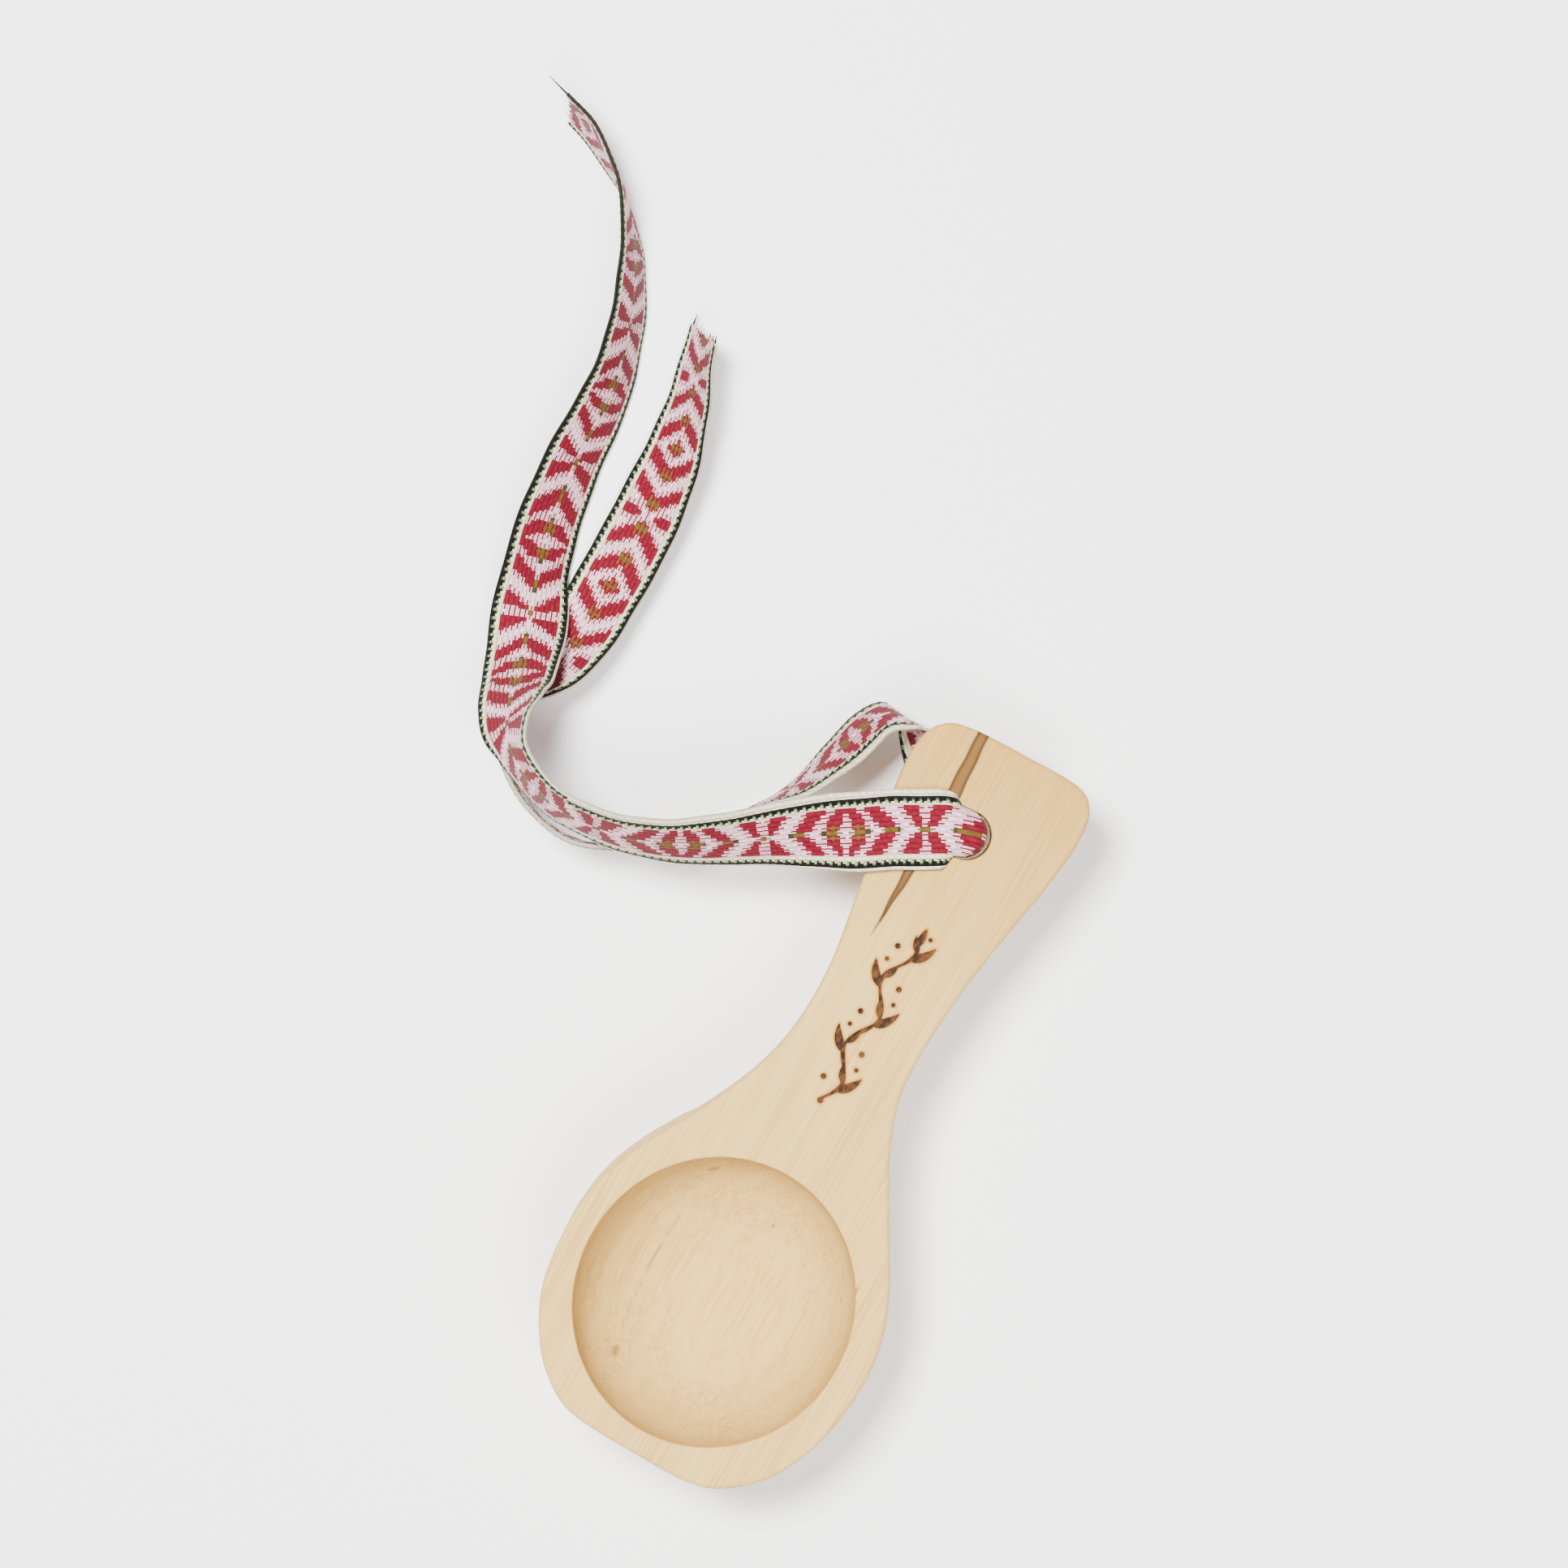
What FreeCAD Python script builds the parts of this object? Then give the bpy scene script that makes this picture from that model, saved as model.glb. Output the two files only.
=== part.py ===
"""A one-piece birch coffee scoop with a woven ribbon threaded through its hanging hole.

Millimetres. +Z is up, +Y runs from the bowl to the end of the handle, and the origin is
the middle of the flat face under the bowl that the scoop stands on.
"""

import FreeCAD
import Part

import math
import os

Vector = FreeCAD.Vector

# Scoop: the flat top is common to the bowl's rim and the handle.
TOP = 24.0
HANDLE_THICKNESS = 7.5
HOLLOW_HALF_WIDTH = 22.4
HOLLOW_HALF_LENGTH = 23.5
HOLLOW_DEPTH = 18.5
HOLE_X = -1.9
HOLE_Y = 85.1
HOLE_RADIUS = 4.0

# Underside: a flat foot, a rounded heel all round it, and a hollow throat up to the handle.
FOOT_RADIUS = 22.5
HEEL_RADIUS = 7.5
THROAT_RADIUS = TOP - HANDLE_THICKNESS - HEEL_RADIUS
HANDLE_END = 103.0

# Ribbon: a flat woven band, as wide as its two selvedges are apart when it lies open.
RIBBON_WIDTH = 13.0
RIBBON_THICKNESS = 0.75
SECTIONS_PER_SPAN = 2

# The scoop's edge seen from above, going round against the clock from the heel of the bowl.
OUTLINE = [
    (0.0, -27.4),
    (10.5, -27.2),
    (16.0, -25.3),
    (21.8, -20.0),
    (25.8, -11.5),
    (27.4, -1.0),
    (26.5, 8.0),
    (23.3, 16.0),
    (18.0, 25.0),
    (12.1, 36.0),
    (9.5, 45.0),
    (9.5, 57.0),
    (11.0, 70.0),
    (13.4, 84.0),
    (14.3, 93.0),
    (13.3, 98.2),
    (9.8, 100.7),
    (0.0, 100.8),
    (-9.5, 100.4),
    (-14.0, 98.8),
    (-16.1, 94.5),
    (-15.7, 86.0),
    (-13.9, 76.5),
    (-11.9, 65.0),
    (-10.5, 55.0),
    (-10.7, 45.0),
    (-12.8, 36.0),
    (-17.2, 26.0),
    (-22.7, 16.0),
    (-25.7, 8.0),
    (-26.6, -1.0),
    (-25.2, -11.5),
    (-20.7, -20.0),
    (-15.3, -25.0),
    (-10.0, -27.0),
]

# The ribbon's middle line, outwards from the hole. Each station is x, y, z, the bank in
# degrees and the width. The bank is how far the selvedge on the left, going from the end
# of the upper strand to the end of the lower one, stands above the other; past 90 the
# band has turned over.
UPPER_STRAND = [
    (-5.6, 84.1, 25.5, 0, 7.8),
    (-9.0, 82.1, 25.2, 0, 11.6),
    (-12.7, 80.0, 25.4, 0, 13.0),
    (-17.2, 77.0, 26.0, 6, 13.0),
    (-23.7, 73.0, 26.0, 26, 13.0),
    (-31.0, 68.0, 25.6, 44, 13.0),
    (-39.0, 62.5, 25.2, 54, 13.0),
    (-46.5, 58.8, 24.8, 61, 13.0),
    (-53.5, 57.0, 24.4, 65, 13.0),
    (-60.0, 56.5, 24.0, 68, 13.0),
    (-66.0, 57.6, 23.5, 69, 13.0),
    (-70.8, 60.0, 22.8, 67, 13.0),
    (-74.2, 63.4, 20.8, 58, 13.0),
    (-76.3, 67.4, 16.6, 45, 13.0),
    (-77.7, 71.6, 11.8, 31, 13.0),
    (-79.4, 76.4, 7.6, 14, 13.0),
    (-81.5, 81.5, 4.8, -10, 13.0),
    (-83.6, 87.0, 4.6, -34, 13.0),
    (-85.5, 93.5, 5.0, -44, 13.0),
    (-86.8, 101.0, 5.4, -50, 13.0),
    (-87.6, 109.0, 5.8, -54, 13.0),
    (-87.9, 117.0, 6.0, -58, 13.0),
    (-89.2, 125.0, 6.3, -63, 13.0),
    (-91.8, 133.0, 6.5, -68, 13.0),
    (-95.6, 140.5, 6.8, -75, 13.0),
    (-100.2, 146.8, 6.9, -85, 13.0),
    (-105.6, 151.4, 6.9, -95, 13.0),
    (-112.0, 155.0, 6.9, -101, 13.0),
    (-118.5, 157.2, 6.9, -100, 13.0),
]
LOWER_STRAND = [
    (-5.9, 89.2, 14.6, 180, 6.6),
    (-10.2, 93.3, 14.3, 178, 8.0),
    (-14.2, 96.7, 13.2, 160, 9.5),
    (-18.4, 98.2, 13.2, 95, 12.0),
    (-22.2, 95.9, 13.4, 68, 13.0),
    (-24.6, 91.6, 13.0, 61, 13.0),
    (-26.4, 85.6, 12.4, 65, 13.0),
    (-29.0, 79.0, 11.6, 75, 13.0),
    (-32.8, 73.2, 10.8, 88, 13.0),
    (-37.2, 67.2, 10.3, 90, 13.0),
    (-42.4, 61.4, 9.8, 90, 13.0),
    (-48.4, 56.4, 9.4, 90, 13.0),
    (-55.4, 53.0, 9.1, 90, 13.0),
    (-62.8, 52.9, 8.7, 92, 13.0),
    (-69.4, 55.6, 8.3, 92, 13.0),
    (-74.8, 59.5, 7.6, 94, 13.0),
    (-77.9, 63.3, 7.0, 100, 13.0),
    (-77.8, 67.9, 6.6, 112, 13.0),
    (-74.9, 72.4, 6.1, 124, 13.0),
    (-72.5, 77.7, 5.5, 133, 13.0),
    (-71.6, 84.5, 5.0, 139, 13.0),
    (-71.5, 92.0, 4.8, 141, 13.0),
    (-71.7, 99.5, 4.8, 140, 13.0),
    (-72.3, 107.0, 5.0, 138, 13.0),
    (-73.3, 115.0, 5.5, 131, 13.0),
    (-75.2, 123.0, 6.1, 119, 13.0),
    (-77.7, 130.5, 6.4, 114, 13.0),
    (-79.8, 137.2, 6.5, 112, 13.0),
]
# Inside the hole the band is bunched: x, y, z and the heading of the same selvedge.
HOLE_STATIONS = [
    (-2.8, 85.1, 24.9, 112.0),
    (-1.9, 85.1, 22.4, 98.0),
    (-1.9, 85.1, 18.0, 70.0),
    (-2.8, 86.0, 15.2, 55.0),
]
HOLE_WIDTH = 6.2


def outline_prism():
    """The scoop's edge as one smooth closed curve, carried straight up."""
    curve = Part.BSplineCurve()
    curve.interpolate([Vector(x, y, 0) for x, y in OUTLINE], PeriodicFlag=True)
    face = Part.Face(Part.Wire([curve.toShape()]))
    return face.extrude(Vector(0, 0, TOP))


def quarter(centre_r, centre_z, radius, from_degrees, to_degrees):
    """An arc of the turned profile, in the plane through Z and +X."""
    marks = (from_degrees, (from_degrees + to_degrees) / 2, to_degrees)
    angles = [math.radians(mark) for mark in marks]
    points = [
        Vector(centre_r + radius * math.cos(a), 0, centre_z + radius * math.sin(a))
        for a in angles
    ]
    return Part.Arc(*points).toShape()


def cup():
    """The bowl's outside turned about Z: foot, heel, and the throat flaring out above it."""
    wall = FOOT_RADIUS + HEEL_RADIUS
    flare = wall + THROAT_RADIUS
    under = TOP - HANDLE_THICKNESS
    heel = quarter(FOOT_RADIUS, HEEL_RADIUS, HEEL_RADIUS, -90, 0)
    throat = quarter(flare, HEEL_RADIUS, THROAT_RADIUS, 180, 90)
    corners = [
        Vector(flare, 0, under),
        Vector(flare, 0, TOP),
        Vector(0, 0, TOP),
        Vector(0, 0, 0),
        Vector(FOOT_RADIUS, 0, 0),
    ]
    sides = [Part.makeLine(a, b) for a, b in zip(corners, corners[1:])]
    face = Part.Face(Part.Wire([heel, throat] + sides))
    return face.revolve(Vector(0, 0, 0), Vector(0, 0, 1), 360)


def handle_slab():
    """A flat board from the middle of the bowl to past the handle's end."""
    width = 2 * FOOT_RADIUS
    corner = Vector(-width / 2, 0, TOP - HANDLE_THICKNESS)
    return Part.makeBox(width, HANDLE_END, HANDLE_THICKNESS, corner)


def bowl_hollow():
    """Half of an egg-shaped space, a little longer along the handle than across it."""
    ball = Part.makeSphere(HOLLOW_DEPTH)
    stretch = FreeCAD.Matrix()
    stretch.A11 = HOLLOW_HALF_WIDTH / HOLLOW_DEPTH
    stretch.A22 = HOLLOW_HALF_LENGTH / HOLLOW_DEPTH
    hollow = ball.transformGeometry(stretch)
    hollow.translate(Vector(0, 0, TOP))
    return hollow


def hanging_hole():
    base = Vector(HOLE_X, HOLE_Y, 0)
    return Part.makeCylinder(HOLE_RADIUS, 2 * TOP, base)


def make_scoop():
    body = cup().fuse(handle_slab()).common(outline_prism())
    return body.cut(bowl_hollow()).cut(hanging_hole()).Solids[0]


def smooth(values, i, t):
    """Catmull-Rom value between items i and i + 1, for one list of vectors or numbers."""
    last = len(values) - 1
    a, b = values[max(i - 1, 0)], values[i]
    c, d = values[i + 1], values[min(i + 2, last)]
    return (
        b * 2
        + (c - a) * t
        + (a * 2 - b * 5 + c * 4 - d) * t**2
        + (b * 3 - a - c * 3 + d) * t**3
    ) * 0.5


def selvedge_direction(ahead, bank):
    """Unit vector towards the left selvedge of a band that heads ahead at this bank."""
    left = Vector(-ahead.y, ahead.x, 0).normalize()
    angle = math.radians(bank)
    return left * math.cos(angle) + Vector(0, 0, 1) * math.sin(angle)


def strand_rows(stations, outwards):
    """Point, selvedge direction and width at each station, in the ribbon's own order."""
    points = [Vector(*s[:3]) for s in stations]
    rows = []
    for i, (point, station) in enumerate(zip(points, stations)):
        ahead = points[min(i + 1, len(points) - 1)] - points[max(i - 1, 0)]
        side = selvedge_direction(ahead * outwards, station[3])
        rows.append((point, side, station[4]))
    return rows


def ribbon_rows():
    """The whole ribbon, from the free end of the upper strand to that of the lower one."""
    upper = strand_rows(UPPER_STRAND, -1)[::-1]
    lower = strand_rows(LOWER_STRAND, 1)
    hole = []
    for x, y, z, heading in HOLE_STATIONS:
        angle = math.radians(heading)
        side = Vector(math.cos(angle), math.sin(angle), 0)
        hole.append((Vector(x, y, z), side, HOLE_WIDTH))
    return upper + hole + lower


def ribbon_sections():
    """Four corners of the band's cut at close steps. A bunched band is thicker."""
    points, sides, widths = (list(column) for column in zip(*ribbon_rows()))
    area = RIBBON_WIDTH * RIBBON_THICKNESS
    step = 1.0 / SECTIONS_PER_SPAN
    places = [
        (i, k * step) for i in range(len(points) - 1) for k in range(SECTIONS_PER_SPAN)
    ]
    places.append((len(points) - 2, 1.0))
    middles = [smooth(points, i, t) for i, t in places]
    sections = []
    for k, (i, t) in enumerate(places):
        ahead = middles[min(k + 1, len(middles) - 1)] - middles[max(k - 1, 0)]
        ahead.normalize()
        side = smooth(sides, i, t)
        side = (side - ahead * side.dot(ahead)).normalize()
        width = widths[i] + (widths[i + 1] - widths[i]) * t
        across = side * (width / 2)
        up = ahead.cross(side) * (area / width / 2)
        m = middles[k]
        sections.append([m + across + up, m - across + up, m - across - up, m + across - up])
    return sections


def triangle(a, b, c):
    return Part.Face(Part.makePolygon([a, b, c, a]))


def make_ribbon():
    """The band as a closed skin of flat triangles between its sections."""
    sections = ribbon_sections()
    faces = []
    for near, far in zip(sections, sections[1:]):
        for k in range(4):
            n = (k + 1) % 4
            faces.append(triangle(near[k], near[n], far[n]))
            faces.append(triangle(near[k], far[n], far[k]))
    for a, b, c, d in (sections[0], sections[-1]):
        faces.append(triangle(a, b, c))
        faces.append(triangle(a, c, d))
    shell = Part.makeShell(faces)
    shell.sewShape()
    solid = Part.makeSolid(shell)
    if solid.Volume < 0:
        solid.reverse()
    return solid


def ribbon_length():
    middles = [(s[0] + s[1] + s[2] + s[3]) * 0.25 for s in ribbon_sections()]
    return sum((b - a).Length for a, b in zip(middles, middles[1:]))


os.makedirs("parts", exist_ok=True)
for name, shape in (("scoop", make_scoop()), ("ribbon", make_ribbon())):
    print(name, "valid", shape.isValid(), "closed", shape.isClosed(), "mm3", round(shape.Volume))
    shape.exportStep(f"parts/{name}.step")
print("ribbon length", round(ribbon_length(), 1))
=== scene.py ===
import bpy
import numpy as np
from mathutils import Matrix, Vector


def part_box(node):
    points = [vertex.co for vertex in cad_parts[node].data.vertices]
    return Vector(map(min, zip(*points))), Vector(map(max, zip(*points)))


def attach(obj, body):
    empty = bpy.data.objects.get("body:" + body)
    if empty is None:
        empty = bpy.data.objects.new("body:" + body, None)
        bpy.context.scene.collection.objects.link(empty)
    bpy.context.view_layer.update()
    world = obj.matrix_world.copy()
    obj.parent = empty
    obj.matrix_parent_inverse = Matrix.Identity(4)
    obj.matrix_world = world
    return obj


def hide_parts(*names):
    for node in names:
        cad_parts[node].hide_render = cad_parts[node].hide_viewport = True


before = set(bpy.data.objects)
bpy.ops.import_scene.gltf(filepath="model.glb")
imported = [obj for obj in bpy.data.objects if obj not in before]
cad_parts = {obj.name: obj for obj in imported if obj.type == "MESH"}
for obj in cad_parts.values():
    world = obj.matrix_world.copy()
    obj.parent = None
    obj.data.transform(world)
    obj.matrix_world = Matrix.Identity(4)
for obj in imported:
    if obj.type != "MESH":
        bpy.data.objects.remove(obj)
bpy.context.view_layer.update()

# ---------------------------------------------------------------- camera
# A long lens straight above the object, turned so that the handle leans to the right.
# Sizes in this file are in millimetres unless they are multiplied by MM.
MM = 0.001
camera_height, top_of_wood = 0.8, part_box("scoop")[1][2]
view_width, handle_lean = 0.25116, np.radians(29.7)
view_middle = (-31.4, 77.7)
lens = bpy.data.cameras.new("camera")
lens.sensor_width = 36.0
lens.lens = lens.sensor_width * (camera_height - top_of_wood) / view_width
lens.dof.use_dof = False
camera = bpy.data.objects.new("camera", lens)
camera.location = (view_middle[0] * MM, view_middle[1] * MM, camera_height)
camera.rotation_euler = (0.0, 0.0, handle_lean)
bpy.context.collection.objects.link(camera)
bpy.context.scene.camera = camera


# ---------------------------------------------------------------- ribbon
# One jacquard-woven band, 13 mm wide, of red, white and gold floats between dark green
# saw-tooth lines and cream selvedges. It is threaded through the handle's hole and lies
# as it falls: a strand over the handle, one under it, and both ends free.
BAND_WIDTH = 13.0
BAND_THICKNESS = 0.55
# Distance between picks along the band, and mesh cells across it: three to each of 15 yarns.
PICK = 0.44
ROWS = 45
# Each strand from the hole outwards: x, y, z of the middle line, and the bank in degrees.
UPPER_STRAND = [
    (-5.6, 84.1, 25.5, 0),
    (-9.0, 82.1, 25.2, 0),
    (-12.7, 80.0, 25.4, 0),
    (-17.2, 77.0, 26.0, 6),
    (-23.7, 73.0, 26.0, 26),
    (-31.0, 68.0, 25.6, 44),
    (-39.0, 62.5, 25.2, 54),
    (-46.5, 58.8, 24.8, 61),
    (-53.5, 57.0, 24.4, 65),
    (-60.0, 56.5, 24.0, 68),
    (-66.0, 57.6, 23.5, 69),
    (-70.8, 60.0, 22.8, 67),
    (-74.2, 63.4, 20.8, 58),
    (-76.3, 67.4, 16.6, 45),
    (-77.7, 71.6, 11.8, 31),
    (-79.4, 76.4, 7.6, 14),
    (-81.5, 81.5, 4.8, -10),
    (-83.6, 87.0, 4.6, -34),
    (-85.5, 93.5, 4.7, -38),
    (-86.8, 101.0, 5.2, -44),
    (-87.6, 109.0, 5.6, -49),
    (-87.9, 117.0, 5.9, -55),
    (-89.2, 125.0, 6.3, -63),
    (-91.8, 133.0, 6.5, -68),
    (-95.6, 140.5, 6.8, -75),
    (-100.2, 146.8, 6.9, -85),
    (-105.6, 151.4, 6.9, -95),
    (-112.0, 155.0, 6.9, -101),
    (-118.5, 157.2, 6.9, -100),
]
LOWER_STRAND = [
    (-5.9, 89.2, 14.6, 180),
    (-10.0, 92.0, 14.0, 172),
    (-13.9, 94.6, 11.6, 135),
    (-18.4, 96.4, 12.4, 95),
    (-22.2, 95.9, 13.4, 68),
    (-24.6, 91.6, 13.0, 61),
    (-26.4, 85.6, 12.4, 65),
    (-29.0, 79.0, 11.6, 75),
    (-32.8, 73.2, 10.8, 88),
    (-37.2, 67.2, 10.3, 90),
    (-42.4, 61.4, 9.8, 90),
    (-48.4, 56.4, 9.4, 90),
    (-55.4, 53.0, 9.1, 90),
    (-62.8, 52.9, 8.7, 92),
    (-69.4, 55.6, 8.3, 92),
    (-74.8, 59.5, 7.6, 94),
    (-77.9, 63.3, 7.0, 100),
    (-77.8, 67.9, 6.6, 112),
    (-75.1, 72.3, 6.0, 127),
    (-73.1, 77.4, 5.0, 142),
    (-72.4, 84.1, 4.0, 152),
    (-72.4, 91.6, 3.7, 156),
    (-72.4, 99.2, 3.7, 156),
    (-72.8, 106.8, 4.0, 152),
    (-73.6, 114.9, 4.7, 141),
    (-75.3, 123.0, 5.6, 127),
    (-77.7, 130.5, 6.2, 117),
    (-79.8, 137.2, 6.5, 112),
]
# Down through the hole: x, y, z, and the compass turn of the left selvedge in degrees.
HOLE_PASSAGE = [
    (-3.1, 85.1, 24.9, 112),
    (-2.35, 85.1, 22.4, 98),
    (-2.3, 85.1, 18.0, 70),
    (-3.0, 86.0, 15.2, 55),
]


def hexed(code):
    """An sRGB hex colour as linear red, green, blue and alpha."""
    parts = np.array([int(code[i : i + 2], 16) for i in (0, 2, 4)]) / 255
    linear = np.where(parts <= 0.04045, parts / 12.92, ((parts + 0.055) / 1.055) ** 2.4)
    return (*linear, 1.0)


def unit(v):
    """Rows of v divided by their lengths."""
    return v / np.maximum(np.linalg.norm(v, axis=-1, keepdims=True), 1e-9)


def smoothed(rows, places):
    """Catmull-Rom curve through rows, read at places counted in rows."""
    last = len(rows) - 1
    i = np.minimum(places.astype(int), last - 1)
    t = (places - i)[:, None]
    a, b = rows[np.maximum(i - 1, 0)], rows[i]
    c, d = rows[i + 1], rows[np.minimum(i + 2, last)]
    cubic = (3 * b - a - 3 * c + d) * t**3
    return 0.5 * (2 * b + (c - a) * t + (2 * a - 5 * b + 4 * c - d) * t**2 + cubic)


def strand_sides(stations, outwards):
    """Directions towards the left selvedge: level left of the heading, tipped by the bank."""
    points = np.array(stations)[:, :3]
    ahead = np.gradient(points, axis=0) * outwards
    left = unit(np.stack([-ahead[:, 1], ahead[:, 0], 0 * ahead[:, 0]], 1))
    bank = np.radians(np.array(stations)[:, 3:4])
    return points, left * np.cos(bank) + np.array([0, 0, 1.0]) * np.sin(bank)


def band_route():
    """Points and selvedge directions of the whole band, from the upper strand's end on."""
    upper, upper_sides = strand_sides(UPPER_STRAND, -1)
    lower, lower_sides = strand_sides(LOWER_STRAND, 1)
    passage = np.array(HOLE_PASSAGE)
    turn = np.radians(passage[:, 3])
    sides = np.stack([np.cos(turn), np.sin(turn), 0 * turn], 1)
    points = np.vstack([upper[::-1], passage[:, :3], lower])
    return points, np.vstack([upper_sides[::-1], sides, lower_sides]), len(upper)


def band_frames():
    """Even steps of one pick along the route.

    Gives the middle line, selvedge direction, face normal and distance from the hole."""
    points, sides, first_in_hole = band_route()
    fine = np.linspace(0, len(points) - 1, 8000)
    line = smoothed(points, fine)
    run = np.concatenate([[0], np.cumsum(np.linalg.norm(np.diff(line, axis=0), axis=1))])
    hole_run = np.interp(first_in_hole + 1.5, fine, run)
    count = int(run[-1] / PICK)
    marks = np.linspace(0, run[-1], count + 1)
    places = np.interp(marks, run, fine)
    middle = smoothed(points, places)
    ahead = unit(np.gradient(middle, axis=0))
    side = smoothed(sides, places)
    side = unit(side - ahead * np.sum(side * ahead, axis=1, keepdims=True))
    return middle, side, unit(np.cross(ahead, side)), marks - hole_run


def bunching(s):
    """Half angle of the arc that the band curls into, in radians.

    It is nearly flat outside and a deep gutter in the hole."""
    flattest, deepest = 0.16, 1.88
    top = np.exp(-((np.clip(-s - 3.0, 0, None) / 3.4) ** 2))
    under = np.exp(-((np.clip(s - 8.0, 0, None) / 6.5) ** 2))
    near = np.where(s < 0, top, under)
    return flattest + (deepest - flattest) * near


def band_surface():
    """Middle surface: each cross-section is an arc as long as the band is wide.

    The arc bulges to the front."""
    middle, side, normal, s = band_frames()
    v = np.linspace(-0.5, 0.5, ROWS + 1)
    half = bunching(s)[:, None]
    radius = BAND_WIDTH / (2 * half)
    angle = 2 * half * v[None, :]
    across = radius * np.sin(angle)
    in_hole = np.clip((half - 1.5) / 0.3, 0, 1)
    out = radius * (np.cos(angle) - (1 - in_hole) * np.sin(half) / half)
    ripple = 0.10 * np.sin(s * 0.61 + 1.3)[:, None] * np.abs(2 * v)[None, :] ** 3
    out = out + ripple
    grid = middle[:, None] + side[:, None] * across[..., None]
    grid = grid + normal[:, None] * out[..., None]
    return grid, s, v


def pattern_phase(s):
    """Place in the woven repeat, in half repeats: even numbers are crosses and odd ones diamonds.

    Where the band is drawn tight or slack the repeat runs a little longer or shorter."""
    upper = [-202.9, -173.4, -162.0, -150.1, -138.2, -124.1, -111.8, -99.5, -87.6, -75.7, -63.8]
    upper += [-49.8, -36.6, -23.4, -10.6, 0.0]
    lower = [20.0, 35.6, 128.5, 141.7, 154.9, 166.8, 179.5, 189.7]
    at_upper = [-15.4] + list(range(-13, 1)) + [0.8]
    at_lower = [1.81, 3, 10, 11, 12, 13, 14, 14.8]
    return np.interp(s, upper + lower, at_upper + at_lower)


WHITE, RED, GOLD, CREAM, GREEN, PALE, OLIVE = range(7)
YARN_CODES = ["E0B4BD", "6C0A1E", "5F4419", "D3C8AC", "060A07", "7D9862", "35311A"]


def band_yarns(s):
    """Yarn that shows in every cell of the front and of the reverse, one cell to a mesh face.

    Fifteen yarns lie side by side, three cells each; a float's middle cell is the longest, so
    floats end in a point. row is the distance from the middle yarn, along that from a cross and
    away that from a diamond. The reverse shows what the front hides."""
    i = np.arange(len(s) - 1)[:, None] + np.zeros(ROWS, int)[None, :]
    j = np.arange(ROWS)[None, :] + np.zeros(len(s) - 1, int)[:, None]
    yarn = j // 3
    phase = pattern_phase((s[1:] + s[:-1]) / 2)[:, None] + 0 * j
    # On the free tails less border shows, so eleven yarns carry the pattern there and not nine.
    tail = (s[:-1, None] < -70) | (s[:-1, None] > 110)
    row = np.abs(yarn - 7) / np.where(tail, 5.5, 4.5)
    uneven = 0.010 * np.sin(yarn * 12.9 + np.round(phase * 2) * 7.3)
    point = np.where(j % 3 == 1, 0.038, -0.028) + uneven
    along = np.abs((phase + 1) % 2 - 1)
    away = 1 - along

    petal = np.abs(along - 0.06 - 0.14 * row) < 0.06 + 0.085 * row + point
    chevron = np.abs(along - 0.43 - 0.25 * row) < 0.13 + point
    ring = away < np.minimum(0.26, 0.42 - 0.30 * row) + point
    ring &= (away > 0.075 * (1 - row / 0.75) - point) & (row < 0.95)
    front = np.where((petal & (row > 0.1)) | chevron | ring, RED, WHITE)
    gold = (along < 0.08 + point) | (np.abs(along - 0.425) < 0.1 + point)
    gold |= np.abs(away - 0.18) < 0.11 + point
    front[(row < 0.1)] = np.where(gold, GOLD, WHITE)[row < 0.1]
    front[(np.abs(row - 0.22) < 0.1) & (np.abs(away - 0.15) < 0.05 + point)] = GOLD
    dark_tip = (np.abs(along - 0.335) < 0.022) | (np.abs(away - 0.275) < 0.022)
    front[(row < 0.1) & dark_tip] = OLIVE

    spot = (along < 0.10 + point) & (row > 0.5)
    spot |= (along < 0.05 + point) & (np.abs(row - 0.44) < 0.1)
    near = np.abs(along - 0.18 - 0.27 * row) < 0.128 + point
    far = np.abs(along - 0.61 - 0.27 * row) < 0.134 + point
    seed = away < 0.15 - 0.24 * row + point
    back = np.where(spot | near | far | (seed & (row < 0.5)), RED, WHITE)
    back[(row < 0.3) & (np.abs(along - 0.18) < 0.05 + point)] = GOLD
    back[(row < 0.3) & (np.abs(along - 0.61) < 0.05 + point)] = GOLD
    back[(row < 0.3) & (away < 0.05 + point)] = GOLD

    # Borders: cream selvedge, then a dark green saw-tooth line, then pale green ticks. On the
    # tails the dark line runs at the very edge.
    gap = i % 3 == 2
    out = np.minimum(j, ROWS - 1 - j)
    for face, narrow, least in ((front, j < ROWS / 2, 2), (back, j < ROWS, 0)):
        line = np.where(tail, np.where(narrow, 0, 1), np.where(narrow, least, 4))
        face[out <= np.where(tail, 5, 8)] = CREAM
        face[(out >= line) & (out <= line + 2)] = GREEN
        face[(out == line + 1) & gap] = OLIVE
        face[(out == line + 2) & gap] = PALE
        face[(out == line + 3) & gap] = PALE
        face[(out == line + 3) & (i % 3 == 0)] = OLIVE
    return front, back


def grid_faces(rows, columns, first, flipped):
    """Quads of a grid of vertices numbered row by row from first."""
    i, j = np.meshgrid(np.arange(rows - 1), np.arange(columns - 1), indexing="ij")
    a = first + i * columns + j
    quads = np.stack([a, a + 1, a + columns + 1, a + columns], -1).reshape(-1, 4)
    return quads[:, ::-1] if flipped else quads


def build_mesh(name, points_mm, quads):
    """A smooth-shaded mesh object from millimetre points and quads, linked at the origin."""
    mesh = bpy.data.meshes.new(name)
    mesh.from_pydata((points_mm * MM).tolist(), [], quads.tolist())
    mesh.shade_smooth()
    piece = bpy.data.objects.new(name, mesh)
    bpy.context.collection.objects.link(piece)
    return piece


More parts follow.
